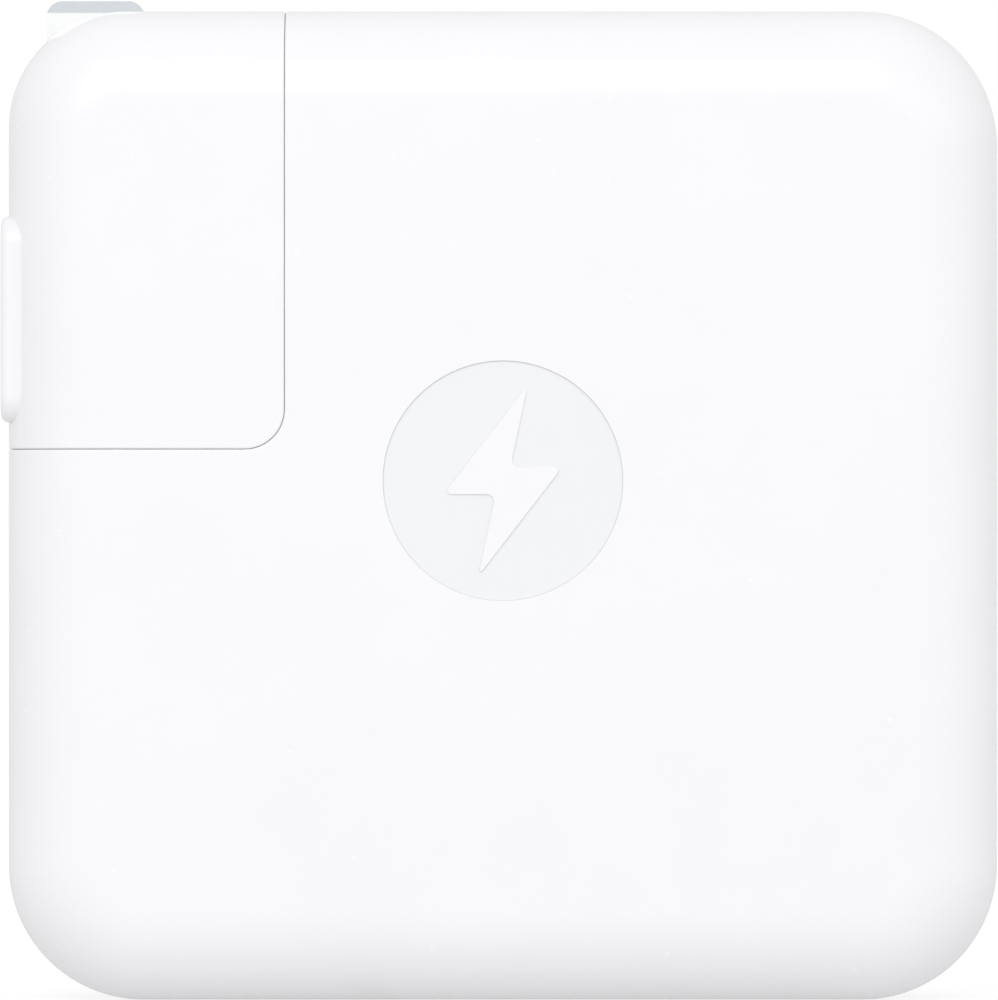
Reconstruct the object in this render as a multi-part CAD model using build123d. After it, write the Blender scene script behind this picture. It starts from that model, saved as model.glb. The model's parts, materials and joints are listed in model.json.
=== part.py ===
from build123d import *
import os

# Laptop power adapter: a rounded square case, standing on its lower edge, with a mains plug module that
# slides off its upper left corner and carries two folding prongs. The USB-C outlet is in the right side.
#
# Frame, in millimetres: the origin is the middle of the flat lower edge that the case stands on, +Z is up,
# +Y runs from the front face to the back face, and +X points to the side with the outlet.
#
# A span is a lowest and a highest value along one axis, and a block is its three spans along X, Y and Z.

# ---- Case ------------------------------------------------------------------------------------------------
WIDTH = 80.0
HEIGHT = 80.0
DEPTH = 29.0
CORNER = 10.9  # radius of the outline's corners, seen from the front
MODULE_CORNER = 9.4  # radius of the upper left one, which the plug module forms
EDGE = 7.0  # radius of the long soft edges round the front and back faces
WALL = 2.0
PARTING = 0.08  # hairline between the two halves of the case
TONGUE = 1.5  # how far the front half's tongue reaches into the back half
TONGUE_ROOT = 1.0  # how far its root runs along the front half's wall
SEAT_PLAY = 0.05  # round every fixed piece that is let into another
FAR = 60.0  # beyond the object on every side, for cutting shapes

# ---- Corner notch that the plug module fills ---------------------------------------------------------------
SEAM_X = -17.6
SEAM_Z = 44.55
NOTCH_CORNER = 3.2
SEAM_GAP = 0.1  # between the module and the case

# ---- Emblem ------------------------------------------------------------------------------------------------
EMBLEM_Z = 42.0
EMBLEM_R = 9.7
EMBLEM_RECESS = 0.5
EMBLEM_SUNK = 0.18  # below the front face
BOLT_HALF = [(1.9, 7.4), (-4.7, -1.1), (-0.6, -1.1)]  # half of the outline; a half turn gives the rest
BOLT_ROUND = 0.35

# ---- Folding prongs ----------------------------------------------------------------------------------------
PIVOT_X = -33.0
PIVOT_Z = 55.05
DRUM_R = 8.6
DRUM_HALF = 9.4
DRUM_FLAT = 7.52  # from the axis to each of the drum's two flats
CLICK_R = 0.6  # radius of the two grooves that the leaf spring clicks into
CLICK_HALF = 3.0
CLICK_OUT = 0.25  # how far a groove's middle lies outside the drum's round
TRUNNION_R = 2.0
TRUNNION_HALF = 12.3
BLADE_SPACING = 12.7
BLADE_THICK = 1.5
BLADE_REACH = 25.8  # from the axis to the tip
NEUTRAL_WIDTH = 7.94
LINE_WIDTH = 6.35
SHOULDER = 1.5  # above the axis, where a blade narrows to its tail
TAIL_WIDTH = 3.6
TAIL_REACH = 8.45  # from the axis down to the tail's end
TIP_ROUND = 1.3
TIP_BEVEL = 0.95
TIP_THICK = 0.8
BLADE_HOLE_R = 1.58
BLADE_HOLE_AT = 19.3  # from the axis

# ---- Plug module -------------------------------------------------------------------------------------------
PAD_FACE = -40.57  # the module's raised face, which meets the wall socket
PAD_HEIGHT = 16.7
PAD_WIDTH = 22.6
PAD_ROOT = -37.0
PAD_CORNER = 2.2
PAD_EDGE = 0.7
CAVITY_R = DRUM_R + 0.15
CAVITY_HALF = DRUM_HALF + 0.2
BEARING_R = TRUNNION_R + 0.05
BEARING_END = 12.4  # depth of the trunnions' seats, along Y
SADDLE_WALL = 1.2  # behind the drum's space and round the blades' channels
CHEEK_X = (-38.5, -25.0)
CHEEK_Z = (49.5, 60.6)
SLOT_HALF = 1.05
SLOT_RIGHT = -28.6
SLOT_BELOW = 4.05  # how far the blades' slots run below the axis
CHANNEL_Z = (60.0, 78.5)
BEDDED = 0.3  # how far a fitting runs into the wall that it stands on

COVER_WALL = 1.6
COVER_HALF = 12.35  # half the width of the module's inner cover, along Y
COVER_PLAY = 0.12
KEEPER_OUT = 3.5  # how far the stud's channel stands out of the cover, into the module
KEEPER_WALL = 0.8
KEEPER_LOW = 1.2  # above the module's lower face

# ---- Ground stud that the module slides over ---------------------------------------------------------------
STUD_Z = 60.0
STUD_NECK_R = 2.0
STUD_NECK_PLAY = 0.2
STUD_HEAD_R = 3.2
STUD_HEAD_PLAY = 0.4
STUD_HEAD_X = (SEAM_X - 4.0, SEAM_X - 2.1)
STUD_EDGE = 0.6
FLANGE_R = 4.0
FLANGE_THICK = 0.8
STRAP_HALF = 2.5
STRAP_THICK = 0.4
STRAP_FOOT = 2.0

# ---- Appliance inlet and the nose that plugs into it -------------------------------------------------------
INLET_X = -28.0
INLET_BOTTOM = 33.0
INLET_FLOOR = 35.9
INLET_RIM = 1.0
INLET_CORNER = 2.5
NOSE_WIDTH = 7.2
NOSE_LENGTH = 13.6
NOSE_BOTTOM = 36.4
NOSE_BEVEL = 0.4
NOSE_PLAY = 0.3
NOSE_FLANGE_X = (-29.5, -23.4)
NOSE_FLANGE_HALF = 7.6
NOSE_FLANGE_THICK = 0.5
PIN_SPACING = 8.6
PIN_R = 1.18
PIN_TOP = 43.3
PIN_DOME = 0.9
PIN_MOUTH_R = 1.35  # the nose's openings for the pins
LEAD_Z = 31.9  # height of the inlet's two leads, which run back to the board
LEAD_HALF = 0.6
LEAD_OFFSET = 4.0  # the front pin's lead passes the back pin this far to its left
SLEEVE_R = 1.7
SLEEVE_GRIP = PIN_R + 0.06
SLEEVE_SPAN = (37.5, 44.8)
SLEEVE_FLOOR = 44.2
SLEEVE_SLIT = (30.0, 42.0)
SLEEVE_SLIT_HALF = 0.2
SLEEVE_TAIL_R = 0.6
SLEEVE_TAIL_END = 46.8
STRIP_LINE = [(-28.6, 47.0), (-23.2, 47.0), (-23.2, 52.4), (-23.88, 55.05), (-23.2, 57.7)]
STRIP_THICK = 0.4
STRIP_Y = (4.9, 7.7)
STRIP_FOOT = ((-29.0, -26.0), (3.4, 7.7), (46.8, 47.2))
SPRING_LINE = [(-19.5, 66.6), (-24.4, 66.6), (-26.45, 61.6), (-25.0, 60.2)]
SPRING_THICK = 0.3
SPRING_HALF = 2.6

# ---- USB-C outlet ------------------------------------------------------------------------------------------
PORT_Z = HEIGHT / 2
PORT_MOUTH = WIDTH / 2 - 0.35
PORT_GAP = 0.12
SHELL_LONG = 8.94
SHELL_SHORT = 3.26
SHELL_DEEP = 7.35
SHELL_SHEET = 0.3
SHELL_BACK = 0.6
TONGUE_HALF_Y = 0.35
TONGUE_HALF_Z = 3.35
TONGUE_SET_BACK = 0.7
TONGUE_BEVEL = 0.12
TONGUE_BASE = 1.6
PORT_BOARD = ((22.0, 37.4), (1.75, 2.95), (32.0, 53.0))
PORT_PIN_X = (24.0, 26.54)
PORT_PIN_Z = (34.0, 42.5, 51.0)
PORT_PIN_HALF = 0.32

# ---- Board, heat spreaders and insulation ------------------------------------------------------------------
BOARD_FRONT = 8.6  # the components stand on this face and reach towards the front
BOARD_BACK = 10.0
BOARD_INSET = 3.0
POSTS = [(-31.0, 9.0), (31.0, 9.0), (31.0, 71.0), (-9.0, 74.0)]
POST_R = 2.2
POST_PIN_R = 0.9
POST_PIN_PROUD = 0.6
FILM_Y = (10.9, 11.2)
FILM_INSET = 5.0
REAR_SPREADER_Y = (11.5, 12.0)
FRONT_SPREADER_Y = (-12.1, -11.6)
SPREADER_INSET = 6.0
GAP_PAD = ((-3.0, 15.0), (FRONT_SPREADER_Y[1], -9.0), (52.0, 70.0))
BARRIER = ((18.6, 19.1), (-9.0, BOARD_FRONT), (47.0, 73.5))

# ---- Components on the board -------------------------------------------------------------------------------
LEG_R = 0.35
LEG_HALF = 0.4

FUSE_X = (-33.5, -25.5)
FUSE_Y = 5.6
FUSE_Z = 28.7
FUSE_R = 2.2
FUSE_CAP_R = 2.4
FUSE_CAP = 1.5

THERMISTOR = {"middle": (-19.8, 3.4, 31.0), "radius": 3.4, "thick": 3.2, "legs": 4.4, "softness": 1.2}
Y_CAPACITOR = {"middle": (15.7, 4.2, 29.4), "radius": 3.6, "thick": 3.0, "legs": 5.0, "softness": 1.1}

MAINS_CHOKE = {"at": (-26.8, 17.8), "outer": 7.2, "inner": 4.2, "y": (-0.6, 6.6)}
MAINS_COAT = 1.1
MAINS_COILS_APART = 1.6  # half the space between its two coils
OUTPUT_CHOKE = {"at": (30.6, 25.0), "outer": 5.0, "inner": 2.6, "y": (2.2, 7.2)}
OUTPUT_COAT = 0.9
OUTPUT_COIL_OPEN = 1.2  # half the stretch left bare

X_CAPACITOR = ((-17.2, 1.2), (-3.4, BOARD_FRONT), (3.8, 10.2))
BRIDGE = ((4.0, 18.0), (-2.0, 6.4), (5.0, 8.6))
BRIDGE_LEG_X = (5.6, 9.2, 12.8, 16.4)
BRIDGE_LEG_Z = (6.4, 7.2)

BULK_R = 7.6
BULK_X = (-14.5, 11.5)
BULK_Y = 0.6
BULK_Z = (19.6, 35.6)
BULK_GROOVE = 3.2  # from a can's base to its rolled groove
POLYMER_R = 4.0
POLYMER_TOP = -3.4
POLYMER_PLACES = [(31.4, 66.0), (31.4, 57.0), (24.6, 17.0)]
POLYMER_GROOVE = 1.8
CAN_EDGE = 0.7
GROOVE_R = 0.7
GROOVE_OUT = 0.25

BOBBIN_X = (-5.5, 17.5)
BOBBIN_Z = (47.5, 73.5)
BOBBIN_HALF = 8.0
FOOT_FRONT = -4.5
FOOT_TALL = 4.8
SPINE_HALF = 4.0
SPINE_Y = (-4.0, 3.0)
CORE_Y = (-9.0, 8.0)
CORE_PLATE = 4.4
CORE_SIDE = 3.0
CORE_SHORT = 5.0  # the bobbin's feet stand out of the core by this much at either end
CORE_MIDDLE_R = 4.4
COIL_R = 8.0
COIL_BORE_R = 4.5
COIL_Y = (-4.4, 3.4)

SINK_X = -12.6
SINK_REACH = -8.0
SINK_SHEET = 1.4
SINK_LIP = 1.2
SINK_FRONT = -8.5
SINK_Z = (49.0, 72.0)
SWITCH = ((-11.2, -8.4), (-4.0, 4.5), (55.0, 65.0))
SWITCH_LEG_X = (-10.0, -9.5)
SWITCH_LEG_Z = (57.5, 60.04, 62.58)

CHIP_DIMPLE = 0.2  # depth of the dimple that marks a chip's first leg
CONTROLLER = ((-14.0, -9.0), (BOARD_FRONT - 1.4, BOARD_FRONT), (44.2, 47.4))
RECTIFIER = ((20.5, 26.0), (BOARD_FRONT - 1.2, BOARD_FRONT), (55.0, 61.0))
COUPLER = ((15.5, 20.0), (BOARD_FRONT - 3.4, BOARD_FRONT), (34.0, 40.5))
PORT_CHIP = ((24.0, 29.0), (PORT_BOARD[1][0] - 0.9, PORT_BOARD[1][0]), (44.0, 49.0))


# ---- Shape helpers -----------------------------------------------------------------------------------------
def slab(sketch, y_low, y_high):
    """A sketch drawn in X and Z, made solid from y_low to y_high."""
    plane = Plane((0, y_high, 0), x_dir=(1, 0, 0), z_dir=(0, -1, 0))
    return extrude(plane * sketch, y_high - y_low)


def across(sketch, x_low, x_high):
    """A sketch drawn in Y and Z, made solid from x_low to x_high."""
    plane = Plane((x_low, 0, 0), x_dir=(0, 1, 0), z_dir=(1, 0, 0))
    return extrude(plane * sketch, x_high - x_low)


def upright(sketch, z_low, z_high):
    """A sketch drawn in X and Y, made solid from z_low to z_high."""
    return Pos(0, 0, z_low) * extrude(sketch, z_high - z_low)


def box(x, y, z):
    """A box given by its spans along X, Y and Z."""
    spans = (x, y, z)
    centre = [(low + high) / 2 for low, high in spans]
    return Pos(*centre) * Box(*[high - low for low, high in spans])


def rod(radius, start, end):
    """A round bar between two points."""
    way = Vector(*end) - Vector(*start)
    return extrude(Plane(start, z_dir=way) * Circle(radius), way.length)


def mirrored(shape):
    """The shape and its mirror image on the other side of the case's middle plane, as two solids."""
    return Compound(children=[*shape.solids(), *mirror(shape, Plane.XZ).solids()])


def group(shapes):
    """Several separate solids in one node."""
    return Compound(children=[solid for shape in shapes for solid in shape.solids()])


def rounds(shape):
    """The shape's circular edges."""
    return shape.edges().filter_by(GeomType.CIRCLE)


def rounded_square(inset):
    """The outline of the whole adapter, drawn in X and Z and shrunk by inset."""
    square = Pos(0, HEIGHT / 2) * Rectangle(WIDTH - 2 * inset, HEIGHT - 2 * inset)
    corners = sorted(square.vertices(), key=lambda corner: corner.Y - corner.X)
    square = fillet(corners[:3], CORNER - inset)
    upper_left = square.vertices().group_by(Axis.Y)[-1].sort_by(Axis.X)[0]
    return fillet(upper_left, MODULE_CORNER - inset)


def rounded_block(inset):
    """The outside form of the whole adapter, shrunk by inset on every side."""
    half = DEPTH / 2 - inset
    block = slab(rounded_square(inset), -half, half)
    return fillet(block.faces().filter_by(Axis.Y).edges(), EDGE - inset)


def notch_outline(grow):
    """The corner that the plug module fills, drawn in X and Z and grown by grow into the case."""
    right, bottom = SEAM_X + grow, SEAM_Z - grow
    corner = Pos((right - FAR) / 2, bottom + FAR / 2) * Rectangle(right + FAR, FAR)
    inner = corner.vertices().group_by(Axis.Y)[0].sort_by(Axis.X)[-1]
    return fillet(inner, NOTCH_CORNER + grow)


def case_outline(inset):
    """The outline of the case without the module, drawn in X and Z and shrunk by inset."""
    return rounded_square(inset) - notch_outline(inset)


def figure_eight(width, length):
    """The outline of a two-pole appliance coupler, drawn in X and Y about the inlet's middle."""
    lobe = (length - width) / 2
    waist = Rectangle(0.8 * width, 2 * lobe)
    return Pos(INLET_X, 0) * (waist + Pos(0, lobe) * Circle(width / 2) + Pos(0, -lobe) * Circle(width / 2))


def bolt_outline(grow=0.0):
    """A lightning bolt drawn in X and Z about the emblem's middle."""
    points = BOLT_HALF + [(-x, -z) for x, z in BOLT_HALF]
    bolt = make_face(Polyline(*points, close=True))
    bolt = fillet(bolt.vertices(), BOLT_ROUND)
    if grow:
        bolt = offset(bolt, grow)
    return Pos(0, EMBLEM_Z) * bolt


def port_outline(grow):
    """The outlet's outline, drawn in Y and Z: the shell's outside, grown by grow."""
    slot = SlotOverall(SHELL_LONG + 2 * grow, SHELL_SHORT + 2 * grow, rotation=90)
    return Pos(0, PORT_Z) * slot


# ---- Case --------------------------------------------------------------------------------------------------
def port_hole():
    """The outlet's opening, through the right wall."""
    return across(port_outline(PORT_GAP), WIDTH / 2 - 2 * WALL, WIDTH / 2 + 1)


def stud_hole():
    """The ground stud's hole, through the notch's upright wall."""
    return rod(STUD_NECK_R + SEAT_PLAY, (SEAM_X - 1, 0, STUD_Z), (SEAM_X + WALL + 1, 0, STUD_Z))


def half_case(y_low, y_high):
    """The case's hollow wall between two depths, before anything is cut through it."""
    walls = rounded_block(0) - slab(notch_outline(SEAM_GAP / 2), -FAR, FAR)
    walls -= rounded_block(WALL) - slab(notch_outline(WALL), -FAR, FAR)
    return walls & box((-FAR, FAR), (y_low, y_high), (-FAR, 2 * FAR))


def front_shell():
    """The front half, with the tongue that keys into the back half and the emblem's recess."""
    shell = half_case(-FAR, -PARTING / 2)
    shell += slab(case_outline(WALL / 2 + SEAT_PLAY) - case_outline(WALL), -TONGUE_ROOT, TONGUE)
    disc = Pos(0, EMBLEM_Z) * Circle(EMBLEM_R)
    shell -= slab(disc - bolt_outline(), -FAR, EMBLEM_RECESS - DEPTH / 2)
    return shell - port_hole() - inlet_block(SEAT_PLAY) - stud_hole()


def rear_shell():
    """The back half, with the rebate for the tongue and the posts that the board stands on."""
    shell = half_case(PARTING / 2, FAR)
    shell -= slab(case_outline(WALL / 2 - SEAT_PLAY), -TONGUE_ROOT, TONGUE + 0.1)
    shell = shell - port_hole() - inlet_block(SEAT_PLAY) - stud_hole()
    foot = DEPTH / 2 - WALL / 2
    for x, z in POSTS:
        shell += rod(POST_R, (x, foot, z), (x, BOARD_BACK, z))
        shell += rod(POST_PIN_R, (x, foot, z), (x, BOARD_FRONT - POST_PIN_PROUD, z))
    return shell


def power_emblem():
    """A thin disc let into the front face, with the bolt left open for the case to show through."""
    disc = Pos(0, EMBLEM_Z) * Circle(EMBLEM_R - SEAT_PLAY) - bolt_outline(SEAT_PLAY)
    return slab(disc, EMBLEM_SUNK - DEPTH / 2, EMBLEM_RECESS - DEPTH / 2)


# ---- Appliance inlet, ground stud and outlet ---------------------------------------------------------------
def inlet_block(grow=0.0):
    """The outer form of the inlet, which fills its opening in the notch's floor."""
    width = NOSE_WIDTH + 2 * (NOSE_PLAY + INLET_RIM + grow)
    length = NOSE_LENGTH + 2 * (NOSE_PLAY + INLET_RIM + grow)
    outline = Pos(INLET_X, 0) * RectangleRounded(width, length, INLET_CORNER)
    return upright(outline, INLET_BOTTOM - grow, SEAM_Z - SEAM_GAP / 2)


def inlet_body():
    """The inlet's insulating block, with its figure-of-eight socket and the holes that hold the pins."""
    body = inlet_block()
    socket = figure_eight(NOSE_WIDTH + 2 * NOSE_PLAY, NOSE_LENGTH + 2 * NOSE_PLAY)
    body -= upright(socket, INLET_FLOOR, SEAM_Z)
    return body - inlet_pins()


def inlet_pins():
    """The inlet's two round pins, with domed ends, and the lead from each one back to the board."""
    pins = []
    height = (LEAD_Z - LEAD_HALF, LEAD_Z + LEAD_HALF)
    for y, lead_x in ((PIN_SPACING / 2, INLET_X), (-PIN_SPACING / 2, INLET_X - LEAD_OFFSET)):
        pin = rod(PIN_R, (INLET_X, y, height[0]), (INLET_X, y, PIN_TOP))
        pin = fillet(pin.faces().sort_by(Axis.Z)[-1].edges(), PIN_DOME)
        pin += box((lead_x - LEAD_HALF, INLET_X + LEAD_HALF), (y - LEAD_HALF, y + LEAD_HALF), height)
        pin += box((lead_x - LEAD_HALF, lead_x + LEAD_HALF), (y - LEAD_HALF, BOARD_FRONT), height)
        pins.append(pin)
    return group(pins)


def ground_stud():
    """The turned metal button that the plug module slides over."""
    inside = SEAM_X + WALL
    stud = rod(STUD_NECK_R, (inside, 0, STUD_Z), (STUD_HEAD_X[1] - 0.1, 0, STUD_Z))
    head = rod(STUD_HEAD_R, (STUD_HEAD_X[1], 0, STUD_Z), (STUD_HEAD_X[0], 0, STUD_Z))
    head = fillet(head.faces().sort_by(Axis.X)[0].edges(), STUD_EDGE)
    flange = rod(FLANGE_R, (inside, 0, STUD_Z), (inside + FLANGE_THICK, 0, STUD_Z))
    return stud + head + flange


def ground_strap():
    """A bent metal strip from the stud's flange down to the board."""
    x = SEAM_X + WALL + FLANGE_THICK
    z = (STUD_Z - STRAP_HALF, STUD_Z + STRAP_HALF)
    strip = box((x, x + STRAP_THICK), (-STRAP_HALF, BOARD_FRONT), z)
    return strip + box((x, x + STRAP_FOOT), (BOARD_FRONT - STRAP_THICK, BOARD_FRONT), z)


def usb_c_shell():
    """The outlet's drawn metal shell, open at the mouth and closed at the back."""
    back = PORT_MOUTH - SHELL_DEEP
    bore = across(port_outline(-SHELL_SHEET), back + SHELL_BACK, PORT_MOUTH + 1)
    return across(port_outline(0), back, PORT_MOUTH) - bore


def usb_c_tongue():
    """The moulded tongue in the middle of the outlet, with its thicker base."""
    back = PORT_MOUTH - SHELL_DEEP + SHELL_BACK
    height = (PORT_Z - TONGUE_HALF_Z, PORT_Z + TONGUE_HALF_Z)
    tongue = box((back, PORT_MOUTH - TONGUE_SET_BACK), (-TONGUE_HALF_Y, TONGUE_HALF_Y), height)
    tongue = chamfer(tongue.faces().sort_by(Axis.X)[-1].edges(), TONGUE_BEVEL)
    return tongue + across(port_outline(-SHELL_SHEET), back, back + TONGUE_BASE)


def usb_board():
    """The small board behind the outlet."""
    return box(*PORT_BOARD)


def board_pins():
    """Six square pins that stand the outlet's board on the main board."""
    pins = []
    for z in PORT_PIN_Z:
        for x in PORT_PIN_X:
            spans = [(at - PORT_PIN_HALF, at + PORT_PIN_HALF) for at in (x, z)]
            pins.append(box(spans[0], (PORT_BOARD[1][1], BOARD_FRONT), spans[1]))
    return group(pins)


# ---- Board, heat spreaders and insulation ------------------------------------------------------------------
def main_board():
    """The L-shaped circuit board, with a hole for each post's pin."""
    board = slab(case_outline(BOARD_INSET), BOARD_FRONT, BOARD_BACK)
    for x, z in POSTS:
        board -= rod(POST_PIN_R + 0.1, (x, BOARD_FRONT - 1, z), (x, BOARD_BACK + 1, z))
    return board


def back_sheet(inset, y_low, y_high):
    """A thin sheet between the board and the back face, pierced for the posts."""
    sheet = slab(case_outline(inset), y_low, y_high)
    for x, z in POSTS:
        sheet -= rod(POST_R + 0.3, (x, y_low - 1, z), (x, y_high + 1, z))
    return sheet


def insulation_film():
    """The film that keeps the board's solder side off the rear heat spreader."""
    return back_sheet(FILM_INSET, *FILM_Y)


def rear_heat_spreader():
    """The aluminium sheet behind the board."""
    return back_sheet(SPREADER_INSET, *REAR_SPREADER_Y)


def front_heat_spreader():
    """The aluminium sheet in front of the components."""
    return slab(case_outline(SPREADER_INSET), *FRONT_SPREADER_Y)


def thermal_pad():
    """The soft pad that carries heat from the transformer to the front spreader."""
    return box(*GAP_PAD)


def isolation_barrier():
    """The upright sheet between the mains side and the output side."""
    return box(*BARRIER)


# ---- Components on the board -------------------------------------------------------------------------------
def fuse_tube():
    """The mains fuse's ceramic tube."""
    return rod(FUSE_R, (FUSE_X[0], FUSE_Y, FUSE_Z), (FUSE_X[1], FUSE_Y, FUSE_Z))


def fuse_caps():
    """The fuse's two end caps, each with a leg down to the board."""
    caps = []
    for x in (FUSE_X[0] - FUSE_CAP, FUSE_X[1]):
        cap = rod(FUSE_CAP_R, (x, FUSE_Y, FUSE_Z), (x + FUSE_CAP, FUSE_Y, FUSE_Z))
        middle = x + FUSE_CAP / 2
        caps.append(cap + rod(LEG_R, (middle, FUSE_Y, FUSE_Z), (middle, BOARD_FRONT, FUSE_Z)))
    return group(caps)


def disc_on_legs(middle, radius, thick, legs, softness):
    """A lacquered disc that stands edge-on to the board on two wire legs, given how far apart they are."""
    x, y, z = middle
    disc = rod(radius, (x - thick / 2, y, z), (x + thick / 2, y, z))
    disc = fillet(rounds(disc), softness)
    for at in (z - legs / 2, z + legs / 2):
        disc += rod(LEG_R, (x, y, at), (x, BOARD_FRONT, at))
    return disc


def thermistor():
    """The inrush limiter."""
    return disc_on_legs(**THERMISTOR)


def y_capacitor():
    """The safety capacitor across the isolation gap."""
    return disc_on_legs(**Y_CAPACITOR)


def ring_core(at, outer, inner, y, grow=0.0):
    """A ring core lying on the board, grown by grow all over."""
    ring = Pos(*at) * (Circle(outer + grow) - Circle(inner - grow))
    return slab(ring, y[0] - grow, y[1] + grow)


def wound_coat(core, coat):
    """The form of a winding of some thickness all round a ring core, with the core's space left out."""
    form = ring_core(**core, grow=coat)
    return fillet(rounds(form), coat - 0.1) - ring_core(**core, grow=SEAT_PLAY)


def choke_core():
    """The ferrite ring of the common-mode choke."""
    return ring_core(**MAINS_CHOKE)


def choke_windings():
    """Two separate coils, one on each half of the ring."""
    z = MAINS_CHOKE["at"][1]
    coat = wound_coat(MAINS_CHOKE, MAINS_COAT)
    spans = [(z + MAINS_COILS_APART, FAR), (-FAR, z - MAINS_COILS_APART)]
    return group([coat & box((-FAR, FAR), (-FAR, FAR), span) for span in spans])


def output_choke_core():
    """The ferrite ring of the output choke."""
    return ring_core(**OUTPUT_CHOKE)


def output_choke_winding():
    """The output choke's single coil, wound round most of its ring."""
    x, z = OUTPUT_CHOKE["at"]
    bare = box((x + 1, FAR), (-FAR, FAR), (z - OUTPUT_COIL_OPEN, z + OUTPUT_COIL_OPEN))
    return wound_coat(OUTPUT_CHOKE, OUTPUT_COAT) - bare


def x_capacitor():
    """The boxed film capacitor across the mains."""
    body = box(*X_CAPACITOR)
    return fillet(body.edges().filter_by(Axis.Y) + body.faces().sort_by(Axis.Y)[0].edges(), 0.5)


def bridge_rectifier():
    """The flat bridge rectifier, with one corner cut to mark its positive leg."""
    body = box(*BRIDGE)
    body = chamfer(body.edges().filter_by(Axis.Z).group_by(Axis.Y)[0].sort_by(Axis.X)[-1], 2.0)
    for x in BRIDGE_LEG_X:
        body += box((x - LEG_HALF, x + LEG_HALF), (BRIDGE[1][1] - LEG_HALF, BOARD_FRONT), BRIDGE_LEG_Z)
    return body


def can(radius, start, end, groove):
    """An electrolytic capacitor: a drawn can with rounded ends and a rolled groove near its base."""
    body = rod(radius, start, end)
    body = fillet(rounds(body), CAN_EDGE)
    way = (Vector(*end) - Vector(*start)).normalized()
    at = Vector(*start) + way * groove
    return body - Plane(at, z_dir=way) * Torus(radius + GROOVE_OUT, GROOVE_R)


def bulk_capacitors():
    """The two high-voltage reservoir capacitors, lying side by side."""
    return group([can(BULK_R, (BULK_X[0], BULK_Y, z), (BULK_X[1], BULK_Y, z), BULK_GROOVE) for z in BULK_Z])


def output_capacitors():
    """Three polymer capacitors standing on the output side."""
    cans = []
    for x, z in POLYMER_PLACES:
        cans.append(can(POLYMER_R, (x, BOARD_FRONT, z), (x, POLYMER_TOP, z), POLYMER_GROOVE))
    return group(cans)


def transformer_core():
    """The ferrite core: two outer legs and a round middle leg between two end plates."""
    (left, right), (front, back) = BOBBIN_X, CORE_Y
    z = (BOBBIN_Z[0] + CORE_SHORT, BOBBIN_Z[1] - CORE_SHORT)
    core = box(BOBBIN_X, (front, front + CORE_PLATE), z) + box(BOBBIN_X, (back - CORE_PLATE, back), z)
    core += box((left, left + CORE_SIDE), CORE_Y, z) + box((right - CORE_SIDE, right), CORE_Y, z)
    x, z = sum(BOBBIN_X) / 2, sum(BOBBIN_Z) / 2
    return core + rod(CORE_MIDDLE_R, (x, front + CORE_SIDE, z), (x, back - CORE_SIDE, z))


def transformer_winding():
    """The taped coil on its bobbin, round the middle leg."""
    x, z = sum(BOBBIN_X) / 2, sum(BOBBIN_Z) / 2
    coil = slab(Pos(x, z) * (Circle(COIL_R) - Circle(COIL_BORE_R)), *COIL_Y)
    wide, deep = (x - BOBBIN_HALF, x + BOBBIN_HALF), (FOOT_FRONT, BOARD_FRONT)
    feet = box(wide, deep, (BOBBIN_Z[0], BOBBIN_Z[0] + FOOT_TALL))
    feet += box(wide, deep, (BOBBIN_Z[1] - FOOT_TALL, BOBBIN_Z[1]))
    spine = box((x - SPINE_HALF, x + SPINE_HALF), SPINE_Y, (BOBBIN_Z[0] + 1, BOBBIN_Z[1] - 1))
    return coil + feet + (spine - rod(COIL_BORE_R, (x, -FAR, z), (x, FAR, z)))


def primary_heatsink():
    """The folded aluminium plate behind the switching transistor."""
    plate = box((SINK_X, SINK_X + SINK_SHEET), (SINK_FRONT, BOARD_FRONT), SINK_Z)
    return plate + box((SINK_X, SINK_REACH), (SINK_FRONT, SINK_FRONT + SINK_LIP), SINK_Z)


def primary_switch():
    """The switching transistor, flat against its heatsink, on three legs."""
    body = box(*SWITCH)
    for z in SWITCH_LEG_Z:
        body += box(SWITCH_LEG_X, (SWITCH[1][1], BOARD_FRONT), (z - LEG_HALF, z + LEG_HALF))
    return body


def chip(spans, marker=0.5):
    """A moulded chip, with the dimple that marks its first leg."""
    x, z = spans[0][0] + 2 * marker, spans[2][1] - 2 * marker
    face = spans[1][0]
    return box(*spans) - rod(marker, (x, face - 1, z), (x, face + CHIP_DIMPLE, z))


def switch_controller_chip():
    """Drives the switching transistor."""
    return chip(CONTROLLER)


def sync_rectifier():
    """The rectifying transistor on the output side."""
    return chip(RECTIFIER)


def optocoupler():
    """Carries the feedback signal across the isolation gap."""
    return chip(COUPLER)


def usb_controller_chip():
    """Agrees the outlet's voltage with the laptop."""
    return chip(PORT_CHIP, 0.35)


# ---- Plug module -------------------------------------------------------------------------------------------
def blade_slots(half, x, z):
    """The two upright slots that the blades fold into."""
    return [box(x, (side * BLADE_SPACING / 2 - half, side * BLADE_SPACING / 2 + half), z) for side in (-1, 1)]


def bearing_slot(radius, y_low, y_high, right):
    """A trunnion's seat, open towards the case so that the drum can be dropped in, on one side."""
    lead = box((PIVOT_X, right), (y_low, y_high), (PIVOT_Z - radius, PIVOT_Z + radius))
    return lead + rod(radius, (PIVOT_X, y_low, PIVOT_Z), (PIVOT_X, y_high, PIVOT_Z))


def on_pivot(radius, half):
    """A round bar along the prongs' axis."""
    return rod(radius, (PIVOT_X, -half, PIVOT_Z), (PIVOT_X, half, PIVOT_Z))


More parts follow.
